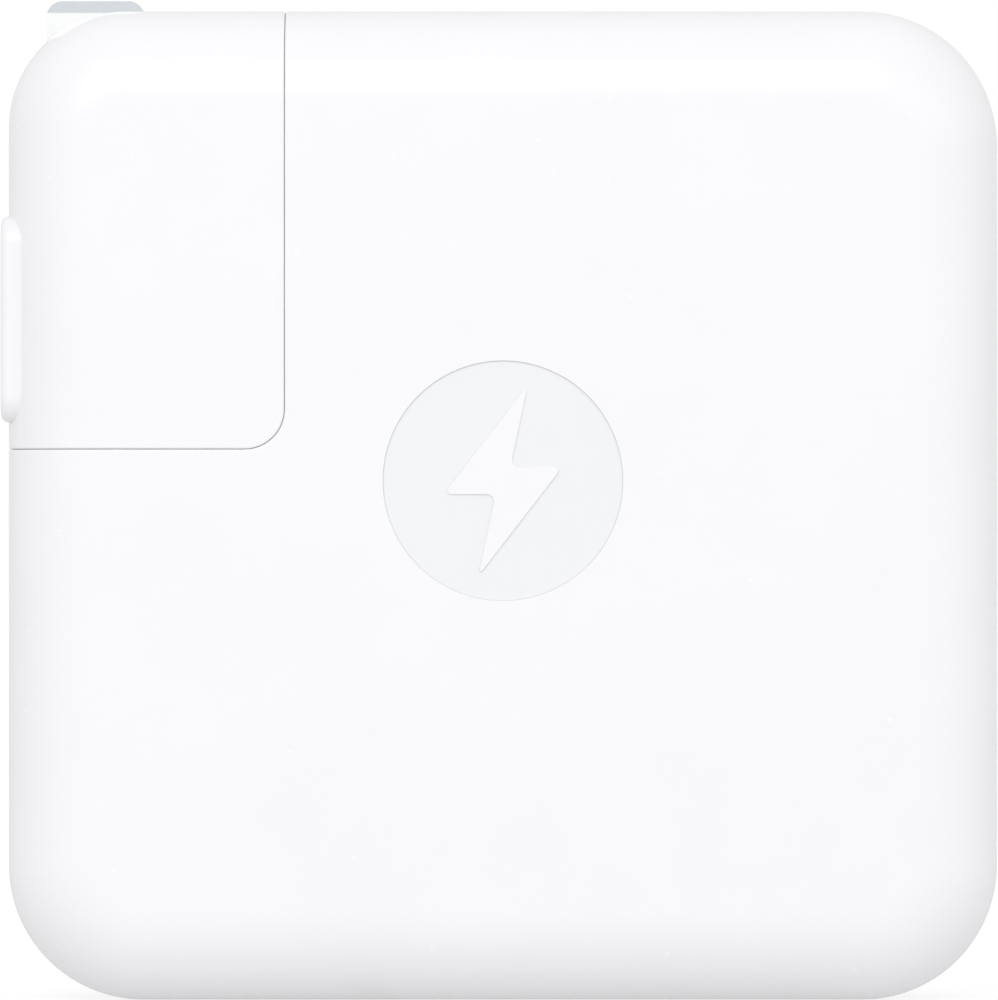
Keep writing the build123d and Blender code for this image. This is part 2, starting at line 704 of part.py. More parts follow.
def module_fittings():
    """What stands inside the module's skin: the drum's saddle, its cheeks and the blades' channels."""
    fittings = on_pivot(CAVITY_R + SADDLE_WALL, CAVITY_HALF) & box((-FAR, PIVOT_X), (-FAR, FAR), (0, 2 * FAR))
    for side in (-1, 1):
        span = sorted((side * CAVITY_HALF, side * (DEPTH / 2 - WALL + BEDDED)))
        fittings += box(CHEEK_X, span, CHEEK_Z)
    for channel in blade_slots(SLOT_HALF + SADDLE_WALL, (CHEEK_X[0], SLOT_RIGHT + SADDLE_WALL), CHANNEL_Z):
        fittings += channel
    lowest = SEAM_Z + COVER_WALL + 0.25
    return fittings & rounded_block(WALL - BEDDED) & box((-FAR, -20.0), (-FAR, FAR), (lowest, 2 * FAR))


def plug_housing():
    """The module's outer moulding: its skin, the raised socket face, and all that stands inside it."""
    skin = rounded_block(0) & slab(notch_outline(-SEAM_GAP / 2), -FAR, FAR)
    pad = across(Pos(0, PIVOT_Z) * RectangleRounded(PAD_WIDTH, PAD_HEIGHT, PAD_CORNER), PAD_FACE, PAD_ROOT)
    skin += fillet(pad.faces().sort_by(Axis.X)[0].edges(), PAD_EDGE)
    housing = skin - rounded_block(WALL) + module_fittings()

    housing -= on_pivot(CAVITY_R, CAVITY_HALF)
    for slot in blade_slots(SLOT_HALF, (-FAR, SLOT_RIGHT), (PIVOT_Z - SLOT_BELOW, 2 * FAR)):
        housing -= slot
    seat = bearing_slot(BEARING_R, CAVITY_HALF - 0.1, BEARING_END, -20.0)
    return housing - seat - mirror(seat, Plane.XZ)


def plug_cover():
    """The L-shaped inner wall that closes the module, with the channel that slides over the ground stud."""
    band = notch_outline(-SEAM_GAP / 2) - notch_outline(-SEAM_GAP / 2 - COVER_WALL)
    cover = slab(band, -COVER_HALF, COVER_HALF) & rounded_block(WALL + COVER_PLAY)
    face = SEAM_X - SEAM_GAP / 2
    inner = face - COVER_WALL
    end = inner - KEEPER_OUT
    head, neck = STUD_HEAD_R + STUD_HEAD_PLAY, STUD_NECK_R + STUD_NECK_PLAY

    outside = head + KEEPER_WALL
    cover += box((end, inner + BEDDED), (-outside, outside), (SEAM_Z + KEEPER_LOW, STUD_Z + outside))
    cover -= box((end + KEEPER_WALL, inner), (-head, head), (0, STUD_Z + head))
    cover -= box((inner - 1, face + 1), (-neck, neck), (0, STUD_Z))
    cover -= rod(neck, (inner - 1, 0, STUD_Z), (face + 1, 0, STUD_Z))
    cover -= box((end + KEEPER_WALL, face + 1), (-head, head), (0, SEAM_Z + COVER_WALL + 0.1))
    return cover - upright(figure_eight(NOSE_WIDTH + 0.1, NOSE_LENGTH + 0.1), 0, FAR)


def plug_nose():
    """The two-pole connector that plugs into the inlet, bored for its contact sleeves."""
    inside = SEAM_Z + SEAM_GAP / 2 + COVER_WALL
    nose = upright(figure_eight(NOSE_WIDTH, NOSE_LENGTH), NOSE_BOTTOM, inside)
    nose = chamfer(nose.faces().sort_by(Axis.Z)[0].edges(), NOSE_BEVEL)
    flange = (inside, inside + NOSE_FLANGE_THICK)
    nose += box(NOSE_FLANGE_X, (-NOSE_FLANGE_HALF, NOSE_FLANGE_HALF), flange)
    for y in (-PIN_SPACING / 2, PIN_SPACING / 2):
        nose -= rod(PIN_MOUTH_R, (INLET_X, y, 0), (INLET_X, y, SLEEVE_SPAN[0] + 1))
        nose -= rod(SLEEVE_R, (INLET_X, y, SLEEVE_SPAN[0]), (INLET_X, y, SLEEVE_SPAN[1]))
        nose -= rod(SLEEVE_TAIL_R, (INLET_X, y, SLEEVE_SPAN[1] - 1), (INLET_X, y, FAR))
    return nose


def contact_sleeves():
    """The sprung tubes that grip the inlet's pins, each with a tail for its strip."""
    y = PIN_SPACING / 2
    sleeve = rod(SLEEVE_R, (INLET_X, y, SLEEVE_SPAN[0]), (INLET_X, y, SLEEVE_SPAN[1]))
    sleeve -= rod(SLEEVE_GRIP, (INLET_X, y, 0), (INLET_X, y, SLEEVE_FLOOR))
    slit = (INLET_X - SLEEVE_SLIT_HALF, INLET_X + SLEEVE_SLIT_HALF)
    sleeve -= box(slit, (y, y + 2 * SLEEVE_R), SLEEVE_SLIT)
    sleeve += rod(SLEEVE_TAIL_R, (INLET_X, y, SLEEVE_FLOOR + 0.3), (INLET_X, y, SLEEVE_TAIL_END))
    return mirrored(sleeve)


def contact_strips():
    """The brass strips that meet the blades' tails once the prongs are out."""
    strip = slab(trace(Polyline(*STRIP_LINE), STRIP_THICK), *STRIP_Y)
    return mirrored(strip + box(*STRIP_FOOT))


def trunnion_retainers():
    """Two fingers that close the bearing seats behind the trunnions."""
    finger = bearing_slot(TRUNNION_R, CAVITY_HALF + 0.1, BEARING_END - 0.1, SEAM_X - 1.8)
    finger -= on_pivot(BEARING_R, FAR)
    return mirrored(finger & box((PIVOT_X, FAR), (-FAR, FAR), (0, 2 * FAR)))


def detent_spring():
    """The steel leaf that clicks into the drum's grooves in both positions."""
    return slab(trace(Polyline(*SPRING_LINE), SPRING_THICK), -SPRING_HALF, SPRING_HALF)


# ---- Folding prongs ----------------------------------------------------------------------------------------
def blade(width, y):
    """One blade with its tail, standing up from the drum's axis as it does when folded."""
    front = Pos(PIVOT_X, PIVOT_Z + (BLADE_REACH + SHOULDER) / 2) * Rectangle(width, BLADE_REACH - SHOULDER)
    outline = fillet(front.vertices().group_by(Axis.Y)[-1], TIP_ROUND)
    low, high = PIVOT_Z - TAIL_REACH, PIVOT_Z + SHOULDER + 1
    outline += Pos(PIVOT_X, (low + high) / 2) * Rectangle(TAIL_WIDTH, high - low)
    outline -= Pos(PIVOT_X, PIVOT_Z + BLADE_HOLE_AT) * Circle(BLADE_HOLE_R)
    half, tip = BLADE_THICK / 2, TIP_THICK / 2
    top, bevel = PIVOT_Z + BLADE_REACH, PIVOT_Z + BLADE_REACH - TIP_BEVEL
    side = [(half, 0), (half, bevel), (tip, top), (-tip, top), (-half, bevel), (-half, 0)]
    edge = across(Pos(y, 0) * make_face(Polyline(*side, close=True)), -FAR, 0)
    return slab(outline, y - half, y + half) & edge


def neutral_blade():
    """The wider blade, nearer the front."""
    return blade(NEUTRAL_WIDTH, -BLADE_SPACING / 2)


def line_blade():
    """The narrower blade, nearer the back."""
    return blade(LINE_WIDTH, BLADE_SPACING / 2)


def prong_drum():
    """The moulded drum that turns with both blades: two flats, two trunnions and two click grooves."""
    drum = on_pivot(DRUM_R, DRUM_HALF)
    drum -= box((-FAR, PIVOT_X - DRUM_FLAT), (-FAR, FAR), (0, 2 * FAR))
    drum -= box((-FAR, 0), (-FAR, FAR), (PIVOT_Z + DRUM_FLAT, 2 * FAR))
    at = DRUM_R * 0.5 ** 0.5 + CLICK_OUT
    half, tail = BLADE_THICK / 2, (PIVOT_X - TAIL_WIDTH / 2, PIVOT_X + TAIL_WIDTH / 2)
    for side in (-1, 1):
        groove = (PIVOT_X + at, PIVOT_Z + side * at)
        drum -= rod(CLICK_R, (groove[0], -CLICK_HALF, groove[1]), (groove[0], CLICK_HALF, groove[1]))
        y = side * BLADE_SPACING / 2
        drum -= box(tail, (y - half, y + half), (PIVOT_Z - DRUM_R - 1, PIVOT_Z - TAIL_REACH + 0.1))
    return drum + on_pivot(TRUNNION_R, TRUNNION_HALF) - neutral_blade() - line_blade()


PARTS = [
    front_shell, rear_shell, power_emblem, inlet_body, inlet_pins, ground_stud, ground_strap,
    usb_c_shell, usb_c_tongue, main_board, insulation_film, rear_heat_spreader, front_heat_spreader,
    thermal_pad, fuse_tube, fuse_caps, thermistor, choke_core, choke_windings, x_capacitor,
    bridge_rectifier, bulk_capacitors, output_capacitors, transformer_core, transformer_winding,
    primary_heatsink, primary_switch, switch_controller_chip, sync_rectifier, optocoupler, y_capacitor,
    output_choke_core, output_choke_winding, usb_board, board_pins, usb_controller_chip, isolation_barrier,
    plug_housing, plug_cover, plug_nose, contact_sleeves, contact_strips, trunnion_retainers, detent_spring,
    neutral_blade, line_blade, prong_drum,
]

os.makedirs("parts", exist_ok=True)
for make in PARTS:
    export_step(make(), f"parts/{make.__name__}.step")
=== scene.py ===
import bmesh
import bpy
import json
import math
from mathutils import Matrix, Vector


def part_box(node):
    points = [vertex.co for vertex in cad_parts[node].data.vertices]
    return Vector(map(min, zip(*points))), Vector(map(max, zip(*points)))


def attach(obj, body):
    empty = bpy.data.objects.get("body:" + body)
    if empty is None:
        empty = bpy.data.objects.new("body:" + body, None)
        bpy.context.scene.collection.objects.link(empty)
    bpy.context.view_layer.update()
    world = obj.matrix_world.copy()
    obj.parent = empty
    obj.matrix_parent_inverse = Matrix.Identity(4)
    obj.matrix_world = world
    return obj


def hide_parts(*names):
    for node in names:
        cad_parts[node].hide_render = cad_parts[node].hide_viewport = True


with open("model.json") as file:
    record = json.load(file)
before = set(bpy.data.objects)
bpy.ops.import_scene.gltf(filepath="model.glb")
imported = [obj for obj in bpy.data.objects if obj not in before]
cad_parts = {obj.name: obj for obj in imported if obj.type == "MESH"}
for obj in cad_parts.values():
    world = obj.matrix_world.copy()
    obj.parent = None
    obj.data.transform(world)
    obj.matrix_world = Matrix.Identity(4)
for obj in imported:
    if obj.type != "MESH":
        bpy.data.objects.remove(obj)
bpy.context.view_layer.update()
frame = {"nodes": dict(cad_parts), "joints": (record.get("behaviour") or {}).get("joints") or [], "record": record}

# ---- Places taken from the frame, in metres ----------------------------------------------------------------
MM = 0.001
CASE_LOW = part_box("front_shell")[0]
CASE_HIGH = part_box("rear_shell")[1]
MODULE_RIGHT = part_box("plug_cover")[1].x
MODULE_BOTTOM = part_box("plug_cover")[0].z
NOTCH_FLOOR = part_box("inlet_body")[1].z
SEAM_GAP = MODULE_BOTTOM - NOTCH_FLOOR
NOTCH_WALL = MODULE_RIGHT + SEAM_GAP
PAD_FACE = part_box("plug_housing")[0].x
PIVOT = Vector(next(joint["pos_m"] for joint in frame["joints"] if joint["name"] == "prong_fold"))
STUD = sum(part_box("ground_stud"), Vector()) / 2
PORT_LOW, PORT_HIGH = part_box("usb_c_shell")
PORT = (PORT_LOW + PORT_HIGH) / 2
EMBLEM_LOW, EMBLEM_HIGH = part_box("power_emblem")
EMBLEM = (EMBLEM_LOW + EMBLEM_HIGH) / 2
INLET_LOW, INLET_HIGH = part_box("inlet_body")
BLADES = {"neutral_blade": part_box("neutral_blade"), "line_blade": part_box("line_blade")}
BLADE_Y = [(low.y + high.y) / 2 for low, high in BLADES.values()]
BLADE_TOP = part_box("neutral_blade")[1].z
TIP_BEVEL = 0.95 * MM

# ---- The case's own sizes ----------------------------------------------------------------------------------
CORNER = 10.9 * MM  # radius of the outline's corners, seen from the front
MODULE_CORNER = 9.4 * MM  # radius of the upper left one, which the plug module forms
EDGE = 7.0 * MM  # radius of the long soft edges round the front and back faces
WALL = 2.0 * MM
NOTCH_CORNER = 3.2 * MM
PARTING = 0.08 * MM
SEAT_PLAY = 0.05 * MM
EMBLEM_FIT = 0.01 * MM
EMBLEM_LIP = 0.05 * MM
SEAM_FIT = 0.03 * MM  # what is left of the seam's play where the skins meet
SEAM_LIP = 0.17 * MM  # rounding of the moulded edges along the module's seam
PARTING_LIP = 0.07 * MM
OUTLET_PLAY = 0.12 * MM
OUTLET_FLARE = 0.16 * MM
NEARLY_ROUND = 0.998  # of the outlet's half height, so that its ends' last faces don't vanish
FACE_BORDER = 0.3 * MM  # narrow ring of flat mesh inside the front and back faces' edges
INLET_CORNER = 2.5 * MM
STUD_HOLE_R = 2.05 * MM
STUD_HOLE_DEPTH = 4.0 * MM
BOLT_POINTS = [(2.0, 7.7), (-4.8, -1.1), (-0.6, -1.1)]  # mm; the other three are these turned half round
BOLT_ROUND = 0.75 * MM
CORNER_STEPS = 28
EDGE_STEPS = 18
ABOVE_ALL = 200 * MM
BEYOND = 60 * MM  # past the object on every side, for cutting blocks
HAIR = 0.01 * MM  # places nearer than this are the same place


# ---- Modelling: each of these is one move of the hand ------------------------------------------------------
def take(piece):
    """Makes this piece the only one selected, and the active one."""
    bpy.ops.object.select_all(action="DESELECT")
    piece.select_set(True)
    bpy.context.view_layer.objects.active = piece


def settle(name):
    """Names the piece just added and applies its place, turn and size to its mesh."""
    piece = bpy.context.object
    piece.name = name
    bpy.ops.object.transform_apply(location=True, rotation=True, scale=True)
    return piece


def block(name, low, high):
    """A block between its lowest and highest corners."""
    low, high = Vector(low), Vector(high)
    bpy.ops.object.select_all(action="DESELECT")
    bpy.ops.mesh.primitive_cube_add(size=1, location=(low + high) / 2, scale=high - low)
    return settle(name)


def bar(name, radius, start, end, around=64):
    """A round bar between two points."""
    start, end = Vector(start), Vector(end)
    turn = (end - start).to_track_quat("Z", "Y").to_euler()
    bpy.ops.object.select_all(action="DESELECT")
    bpy.ops.mesh.primitive_cylinder_add(
        vertices=around, radius=radius, depth=(end - start).length, location=(start + end) / 2, rotation=turn
    )
    return settle(name)


def work(piece, kind, fits, tool, **settings):
    """Selects the piece's vertices, edges or faces that fit, and runs one edit-mode tool on them."""
    take(piece)
    bpy.ops.object.mode_set(mode="EDIT")
    bpy.ops.mesh.select_mode(type=kind)
    bpy.ops.mesh.select_all(action="DESELECT")
    shape = bmesh.from_edit_mesh(piece.data)
    for part in {"VERT": shape.verts, "EDGE": shape.edges, "FACE": shape.faces}[kind]:
        if fits(part):
            part.select_set(True)
    shape.select_flush_mode()
    bmesh.update_edit_mesh(piece.data)
    tool(**settings)
    bpy.ops.object.mode_set(mode="OBJECT")


def round_edges(piece, fits, radius, steps):
    """Rounds over the edges that fit."""
    settings = {"offset": radius, "segments": steps, "profile": 0.5, "clamp_overlap": False}
    work(piece, "EDGE", fits, bpy.ops.mesh.bevel, affect="EDGES", **settings)


def soften(piece, radius, steps, inside=lambda place: True, sharp=50):
    """Rounds over the outward edges sharper than some degrees, where they lie inside a region."""
    def fits(edge):
        middle = (edge.verts[0].co + edge.verts[1].co) / 2
        closed = len(edge.link_faces) == 2
        return closed and edge.calc_face_angle_signed() > math.radians(sharp) and inside(middle)

    round_edges(piece, fits, radius, steps)


def runs_along(edge, axis, least=MM):
    """Whether an edge goes further than least along an axis: 0 for X, 1 for Y and 2 for Z."""
    return abs(edge.verts[0].co[axis] - edge.verts[1].co[axis]) > least


def slice_off(piece, point, outward):
    """Cuts the piece along a plane, throws away what lies outward of it and closes the cut."""
    settings = {"plane_co": point, "plane_no": outward, "clear_outer": True, "use_fill": True}
    work(piece, "FACE", lambda face: True, bpy.ops.mesh.bisect, **settings)


def combine(piece, tool, way):
    """DIFFERENCE cuts the tool away, UNION joins it on, INTERSECT keeps what both share."""
    take(piece)
    bpy.ops.object.modifier_add(type="BOOLEAN")
    change = piece.modifiers[-1]
    change.operation = way
    change.solver = "EXACT"
    change.object = tool
    bpy.ops.object.modifier_apply(modifier=change.name)
    bpy.data.objects.remove(tool)
    return piece


def copy_of(piece, name):
    """A second piece with its own mesh."""
    twin = piece.copy()
    twin.data = piece.data.copy()
    twin.name = name
    bpy.context.scene.collection.objects.link(twin)
    return twin


def finished(piece, body, slot, material, *nodes):
    """Cleans a piece, smooths its shading, gives it its finish and puts it in place of its CAD nodes."""
    work(piece, "VERT", lambda vertex: True, bpy.ops.mesh.remove_doubles, threshold=0.002 * MM)
    take(piece)
    bpy.ops.object.shade_smooth_by_angle(angle=math.radians(36))
    bpy.ops.object.modifier_add(type="WEIGHTED_NORMAL")
    piece.modifiers[-1].keep_sharp = True
    bpy.ops.object.modifier_apply(modifier=piece.modifiers[-1].name)
    piece.data.materials.clear()
    piece.data.materials.append(material)
    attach(piece, body)
    if nodes:
        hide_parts(*nodes)
    return piece


# ---- Finishes ----------------------------------------------------------------------------------------------
def srgb(code):
    """A hex colour such as F4F4F5, as linear light."""
    parts = [int(code[at:at + 2], 16) / 255 for at in (0, 2, 4)]
    return [part / 12.92 if part <= 0.04045 else ((part + 0.055) / 1.055) ** 2.4 for part in parts] + [1.0]


def add(tree, kind, links=(), **settings):
    """Adds a node: settings go to its properties or, by name, its sockets, and links join sockets to it."""
    node = tree.nodes.new(kind)
    for name, value in settings.items():
        if hasattr(node, name):
            setattr(node, name, value)
        else:
            node.inputs[name.replace("_", " ")].default_value = value
    for socket, source in links:
        tree.links.new(source, node.inputs[socket])
    return node


def finish(name, colour, second, grain, roughness, spread, bump, **shader):
    """A surface whose colour drifts between two shades, with its own grain in roughness and height.

    grain is the size of the grain in millimetres along X, Y and Z, bump its height in millimetres, and
    spread how far the roughness strays either way.
    """
    made = bpy.data.materials.new(name)
    made.use_nodes = True
    tree = made.node_tree
    tree.nodes.clear()
    place = add(tree, "ShaderNodeTexCoord").outputs["Object"]
    sized = add(tree, "ShaderNodeMapping", [("Vector", place)], Scale=[1 / (size * MM) for size in grain])
    cells = add(tree, "ShaderNodeTexNoise", [("Vector", sized.outputs[0])], Scale=1.0, Detail=3.0)
    drift = add(tree, "ShaderNodeTexNoise", [("Vector", place)], Scale=1 / (9 * MM), Detail=2.0)
    shade = add(tree, "ShaderNodeMix", [("Factor", drift.outputs[0])], data_type="RGBA")
    shade.inputs[6].default_value = srgb(colour)
    shade.inputs[7].default_value = srgb(second)
    rough = add(tree, "ShaderNodeMapRange", [("Value", cells.outputs[0])], To_Min=roughness - spread,
                To_Max=roughness + spread)
    relief = add(tree, "ShaderNodeBump", [("Height", cells.outputs[0])], Distance=bump * MM, Strength=1.0)
    links = [("Base Color", shade.outputs[2]), ("Roughness", rough.outputs[0]), ("Normal", relief.outputs[0])]
    surface = add(tree, "ShaderNodeBsdfPrincipled", links, **shader)
    add(tree, "ShaderNodeOutputMaterial", [("Surface", surface.outputs[0])])
    return made


def polished_polycarbonate():
    """White polycarbonate from a polished mould: clean and glossy, with a barely uneven skin."""
    return finish("polished_white_polycarbonate", "F3F3F5", "F0F0F2", (1.6, 1.6, 1.6), 0.26, 0.03, 0.0006,
                  IOR=1.5)


def inlaid_polycarbonate():
    """The same plastic in a pale grey, for the emblem."""
    return finish("pale_grey_polycarbonate", "EDEEEF", "EBECEE", (0.9, 0.9, 0.9), 0.24, 0.03, 0.0004,
                  IOR=1.5)


def satin_nylon():
    """White glass-filled nylon as moulded: satin, with a fine mould texture."""
    return finish("moulded_white_nylon", "EBEAE6", "E4E3DE", (0.25, 0.25, 0.25), 0.48, 0.08, 0.004, IOR=1.53)


def nickel_plate():
    """Stamped brass, barrel-plated in nickel: pale silver, with faint marks along the blade.

    The bevel that the die strikes round the tip is painted a shade darker and bluer, as painted shade; its plating
    is the same as the rest of the blade's.
    """
    made = finish("nickel_plated_brass", "E8E8E7", "E2E3E4", (0.08, 0.6, 1.6), 0.24, 0.06, 0.0008,
                  Metallic=1.0)
    tree = made.node_tree
    surface = tree.nodes["Principled BSDF"]
    place = add(tree, "ShaderNodeTexCoord").outputs["Object"]
    height = add(tree, "ShaderNodeSeparateXYZ", [("Vector", place)]).outputs["Z"]
    # Mask of painted shade: everything above the line where the tip's bevel begins is darkened.
    bevel = BLADE_TOP - TIP_BEVEL
    bevel_shade_mask = add(tree, "ShaderNodeMapRange", [("Value", height)], From_Min=bevel - 0.03 * MM,
                 From_Max=bevel + 0.03 * MM)
    plain = surface.inputs["Base Color"].links[0].from_socket
    bevel_shade = add(tree, "ShaderNodeMix", [("Factor", bevel_shade_mask.outputs[0]), (6, plain)], data_type="RGBA",
               blend_type="MULTIPLY")
    # Painted shade on the tip's bevel: its colour is multiplied by this darker, bluer grey.
    bevel_shade.inputs[7].default_value = srgb("D8DDE0")
    tree.links.new(bevel_shade.outputs[2], surface.inputs["Base Color"])
    return made


def stainless():
    """Drawn stainless sheet: neutral and bright, with fine draw lines along its depth."""
    return finish("drawn_stainless_steel", "C4C4C6", "B5B6B9", (2.0, 0.06, 0.06), 0.24, 0.07, 0.001,
                  Metallic=1.0)


def black_nylon():
    """Black nylon as moulded: nearly matt."""
    return finish("moulded_black_nylon", "17181A", "1E1F22", (0.2, 0.2, 0.2), 0.5, 0.08, 0.003, IOR=1.53)


def gold_plate():
    """Hard gold over nickel on the contacts: warm and bright."""
    return finish("gold_plated_contacts", "E3BC66", "D4A94F", (0.3, 0.08, 0.08), 0.2, 0.05, 0.0005,
                  Metallic=1.0)


# The case's inside, which shows only when it is taken apart: name, two shades, grain, roughness and metal.
INNER_FINISHES = {
    "bare_brass": ("rolled_brass", "D8B25E", "C79F4B", (0.1, 1.5, 0.1), 0.28, 1.0),
    "spring_steel": ("tempered_spring_steel", "B4B5B9", "9EA0A6", (0.1, 1.5, 0.1), 0.25, 1.0),
    "board_laminate": ("green_solder_mask", "12492B", "0D3A22", (0.5, 0.5, 0.5), 0.35, 0.0),
    "ferrite": ("sintered_ferrite", "2C2C2E", "363638", (0.15, 0.15, 0.15), 0.55, 0.0),
    "enamelled_copper": ("enamelled_copper_wire", "B4602A", "974B1D", (3.0, 0.5, 3.0), 0.25, 0.8),
    "yellow_tape": ("polyester_tape", "DDB22B", "CFA11F", (0.8, 6.0, 0.8), 0.3, 0.0),
    "film_capacitor_box": ("moulded_capacitor_box", "C9A227", "BD9820", (0.3, 0.3, 0.3), 0.4, 0.0),
    "capacitor_sleeve": ("shrink_sleeve", "1B1E26", "23262F", (4.0, 0.6, 0.6), 0.3, 0.0),
    "chip_epoxy": ("moulded_chip_epoxy", "1A1A1B", "222224", (0.08, 0.08, 0.08), 0.6, 0.0),
    "aluminium_sheet": ("rolled_aluminium", "C9CBCE", "BDBFC3", (0.1, 0.1, 2.0), 0.32, 1.0),
    "black_film": ("embossed_polypropylene", "141415", "1B1B1D", (0.4, 0.4, 0.4), 0.45, 0.0),
    "grey_gap_pad": ("soft_gap_pad", "8E9099", "7F818B", (0.5, 0.5, 0.5), 0.8, 0.0),
    "fuse_ceramic": ("glazed_ceramic_tube", "E4E1D9", "DAD6CC", (0.6, 0.6, 0.6), 0.2, 0.0),
    "green_lacquer": ("dipped_green_lacquer", "2E6B45", "245A39", (0.7, 0.7, 0.7), 0.3, 0.0),
    "blue_lacquer": ("dipped_blue_lacquer", "2B5C9E", "234F8C", (0.7, 0.7, 0.7), 0.3, 0.0),
}


# ---- Case --------------------------------------------------------------------------------------------------
def soft_block(name, inset):
    """The adapter's outside form, shrunk by inset: four round corners, then soft edges front and back."""
    margin = Vector((inset, inset, inset))
    piece = block(name, CASE_LOW + margin, CASE_HIGH - margin)
    front, back = CASE_LOW.y + inset, CASE_HIGH.y - inset

    def in_module(edge):
        return edge.verts[0].co.x < 0 and edge.verts[0].co.z > PORT.z

    def upper_left(edge):
        return runs_along(edge, 1, EDGE) and in_module(edge)

    def others(edge):
        return runs_along(edge, 1, EDGE) and not in_module(edge)

    def on_a_face(edge):
        return any(all(abs(vertex.co.y - y) < HAIR for vertex in edge.verts) for y in (front, back))

    round_edges(piece, others, CORNER - inset, CORNER_STEPS)
    round_edges(piece, upper_left, MODULE_CORNER - inset, CORNER_STEPS)
    round_edges(piece, on_a_face, EDGE - inset, EDGE_STEPS)
    work(piece, "FACE", lambda face: abs(face.normal.y) > 0.9999, bpy.ops.mesh.inset, thickness=FACE_BORDER)
    return piece


def corner_block(name, grow):
    """A block that fills the upper left corner as the plug module does, grown by grow into the case."""
    right, bottom = (NOTCH_WALL + MODULE_RIGHT) / 2 + grow, (NOTCH_FLOOR + MODULE_BOTTOM) / 2 - grow
    piece = block(name, (-2 * BEYOND, -BEYOND, bottom), (right, BEYOND, 2 * BEYOND))

    def inner(edge):
        return all(v.co.x > right - HAIR and v.co.z < bottom + HAIR for v in edge.verts)

    round_edges(piece, inner, NOTCH_CORNER + grow, 12)
    return piece


def outlet_cutter(name):
    """The outlet's opening: a bar with fully rounded ends, flared where it leaves the case's side."""
    half = (PORT_HIGH - PORT_LOW) / 2 + Vector((0, OUTLET_PLAY, OUTLET_PLAY))
    inner, outer = CASE_HIGH.x - 2 * WALL, CASE_HIGH.x - OUTLET_FLARE
    piece = block(name, (inner, PORT.y - half.y, PORT.z - half.z), (outer, PORT.y + half.y, PORT.z + half.z))
    round_edges(piece, lambda edge: runs_along(edge, 0), NEARLY_ROUND * half.y, 12)
    settings = {"TRANSFORM_OT_translate": {"value": (2 * OUTLET_FLARE, 0, 0)}}
    work(piece, "FACE", lambda face: face.normal.x > 0.99, bpy.ops.mesh.extrude_region_move, **settings)
    wider = (1, 1 + 2 * OUTLET_FLARE / half.y, 1 + 2 * OUTLET_FLARE / half.z)
    settings = {"value": wider, "center_override": (outer, PORT.y, PORT.z)}
    work(piece, "FACE", lambda face: face.normal.x > 0.99, bpy.ops.transform.resize, **settings)
    return piece


def bolt(name, y_low, y_high):
    """A lightning bolt through the emblem: six points moved into place, rounded, and extruded."""
    points = BOLT_POINTS + [(-x, -z) for x, z in BOLT_POINTS]
    bpy.ops.object.select_all(action="DESELECT")
    bpy.ops.mesh.primitive_circle_add(
        vertices=6, radius=MM, fill_type="NGON", location=(EMBLEM.x, y_low, EMBLEM.z),
        rotation=(math.radians(90), 0, 0)
    )
    piece = settle(name)
    starts = [vertex.co.copy() for vertex in piece.data.vertices]
    for at, (x, z) in enumerate(points):
        goal = Vector((EMBLEM.x + x * MM, y_low, EMBLEM.z + z * MM))
        move = goal - starts[at]
        work(piece, "VERT", lambda vertex: vertex.index == at, bpy.ops.transform.translate, value=move)
    settings = {"offset": BOLT_ROUND, "segments": 8, "affect": "VERTICES"}
    work(piece, "VERT", lambda vertex: True, bpy.ops.mesh.bevel, **settings)
    settings = {"TRANSFORM_OT_translate": {"value": (0, y_high - y_low, 0)}}
    work(piece, "FACE", lambda face: True, bpy.ops.mesh.extrude_region_move, **settings)
    work(piece, "FACE", lambda face: True, bpy.ops.mesh.normals_make_consistent, inside=False)
    return piece


def emblem_cutter(name, grow, y_low, y_high):
    """A disc, wider than the emblem by grow, with the bolt left out of it."""
    radius = (EMBLEM_HIGH.x - EMBLEM_LOW.x) / 2 + grow
    disc = bar(name, radius, (EMBLEM.x, y_low, EMBLEM.z), (EMBLEM.x, y_high, EMBLEM.z), 160)
    return combine(disc, bolt("bolt", y_low - MM, y_high + MM), "DIFFERENCE")


def case_halves(plastic):
    """Both halves of the case: softened along the seam and the parting, hollowed, and pierced."""
    whole = combine(soft_block("case", 0), corner_block("notch", SEAM_FIT / 2), "DIFFERENCE")
    soften(whole, SEAM_LIP, 3)
    for name, nodes, side in (("case_front", "front_shell", -1), ("case_back", "rear_shell", 1)):
        half = copy_of(whole, name)
        slice_off(half, (0, side * PARTING / 2, 0), (0, -side, 0))
        soften(half, PARTING_LIP, 2, lambda place: abs(place.y) < PARTING)
        hollow = combine(soft_block("hollow", WALL), corner_block("notch_wall", WALL), "DIFFERENCE")
        combine(half, hollow, "DIFFERENCE")
        combine(half, outlet_cutter("mouth"), "DIFFERENCE")
        margin = Vector((SEAT_PLAY, SEAT_PLAY, 0))
        opening = block("opening", INLET_LOW - margin, INLET_HIGH + margin + Vector((0, 0, WALL)))
        round_edges(opening, lambda edge: runs_along(edge, 2), INLET_CORNER, 10)
        combine(half, opening, "DIFFERENCE")
        mouth, end = NOTCH_WALL - MM, NOTCH_WALL + STUD_HOLE_DEPTH
        hole = bar("hole", STUD_HOLE_R, (mouth, 0, STUD.z), (end, 0, STUD.z), 48)
        combine(half, hole, "DIFFERENCE")
        if side < 0:
            combine(half, emblem_cutter("recess", EMBLEM_FIT, -BEYOND, EMBLEM_HIGH.y), "DIFFERENCE")
            soften(half, EMBLEM_LIP, 3, lambda place: place.y < CASE_LOW.y + HAIR)
        finished(half, "main_body", "white_polycarbonate", plastic, nodes)
    bpy.data.objects.remove(whole)


def emblem(grey):
    """The pale inlay, let into the front face a little below its surface."""
    piece = emblem_cutter("emblem_inlay", 0, EMBLEM_LOW.y, EMBLEM_HIGH.y)
    finished(piece, "main_body", "emblem_grey", grey, "power_emblem")


